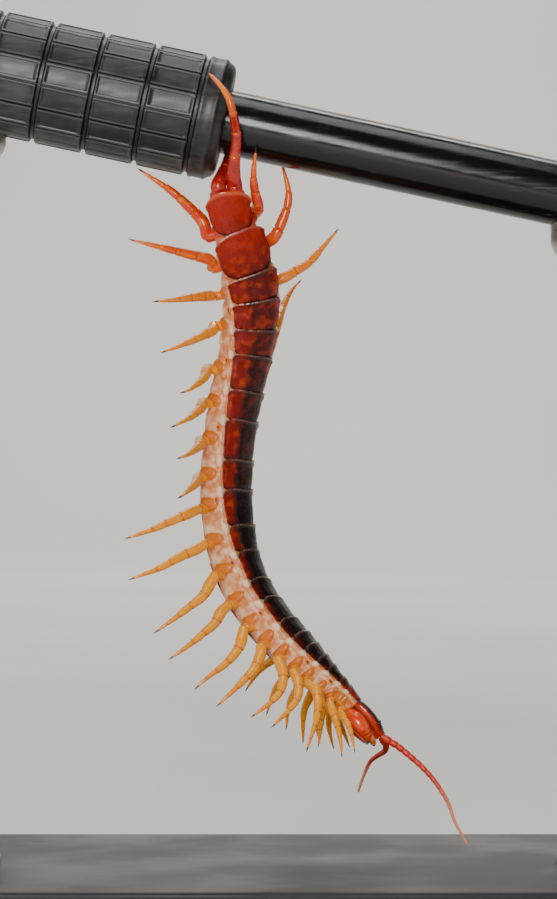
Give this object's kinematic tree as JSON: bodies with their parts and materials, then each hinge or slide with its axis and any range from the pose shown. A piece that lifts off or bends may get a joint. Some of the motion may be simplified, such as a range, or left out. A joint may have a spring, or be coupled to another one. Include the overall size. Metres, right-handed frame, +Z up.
{
  "type": "vietnamese giant centipede model",
  "caption": "Life-size giant centipede hanging head down from a short cut length of a rubber-gripped bar, gripping it with its last legs, on a flat base with two rods.",
  "frame": {"origin": "centre of the base's underside, which is the bottom centre of the bounding box", "axes": "+Z up, -Y towards the viewer of the picture, +X to the viewer's right along the bar's lower end"},
  "size_m": [0.184, 0.128, 0.222],
  "materials": {
    "skin": "soft pinkish cream side skin, semi-gloss, with pale folds",
    "shell": "glossy mahogany to black-brown chitin, orange-red at the tail",
    "fang": "glossy orange-red chitin with black points",
    "eye": "gloss black",
    "antenna": "red, paler towards the tip, fine nap",
    "leg": "glossy yellow-orange, redder at the tail, with black claws",
    "last_leg": "glossy deep red with orange ends",
    "rubber": "matt charcoal rubber, dusty on its tiles",
    "shaft": "gloss black enamel",
    "base": "satin dark grey",
    "rod": "fine brushed"
  },
  "bodies": {
    "root": {"trunk_21_17": "skin", "trunk_16_13": "skin", "trunk_12_09": "skin", "trunk_08_05": "skin", "trunk_04_01": "skin", "head": "shell", "fang_plate": "fang", "fang_left": "fang", "fang_right": "fang", "eyes_left": "eye", "eyes_right": "eye", "antenna_left": "antenna", "antenna_right": "antenna", "leg_left_01": "leg", "leg_left_02": "leg", "leg_left_03": "leg", "leg_left_04": "leg", "leg_left_05": "leg", "leg_left_06": "leg", "leg_left_07": "leg", "leg_left_08": "leg", "leg_left_09": "leg", "leg_left_10": "leg", "leg_left_11": "leg", "leg_left_12": "leg", "leg_left_13": "leg", "leg_left_14": "leg", "leg_left_15": "leg", "leg_left_16": "leg", "leg_left_17": "leg", "leg_left_18": "leg", "leg_left_19": "leg", "leg_left_20": "leg", "leg_right_01": "leg", "leg_right_02": "leg", "leg_right_03": "leg", "leg_right_04": "leg", "leg_right_05": "leg", "leg_right_06": "leg", "leg_right_07": "leg", "leg_right_08": "leg", "leg_right_09": "leg", "leg_right_10": "leg", "leg_right_11": "leg", "leg_right_12": "leg", "leg_right_13": "leg", "leg_right_14": "leg", "leg_right_15": "leg", "leg_right_16": "leg", "leg_right_17": "leg", "leg_right_18": "leg", "leg_right_19": "leg", "leg_right_20": "leg", "last_leg_left": "last_leg", "last_leg_right": "last_leg", "perch_grip": "rubber", "perch_shaft": "shaft", "stand_base": "base", "stand_rod_left": "rod", "stand_rod_right": "rod"}
  },
  "joints": []
}
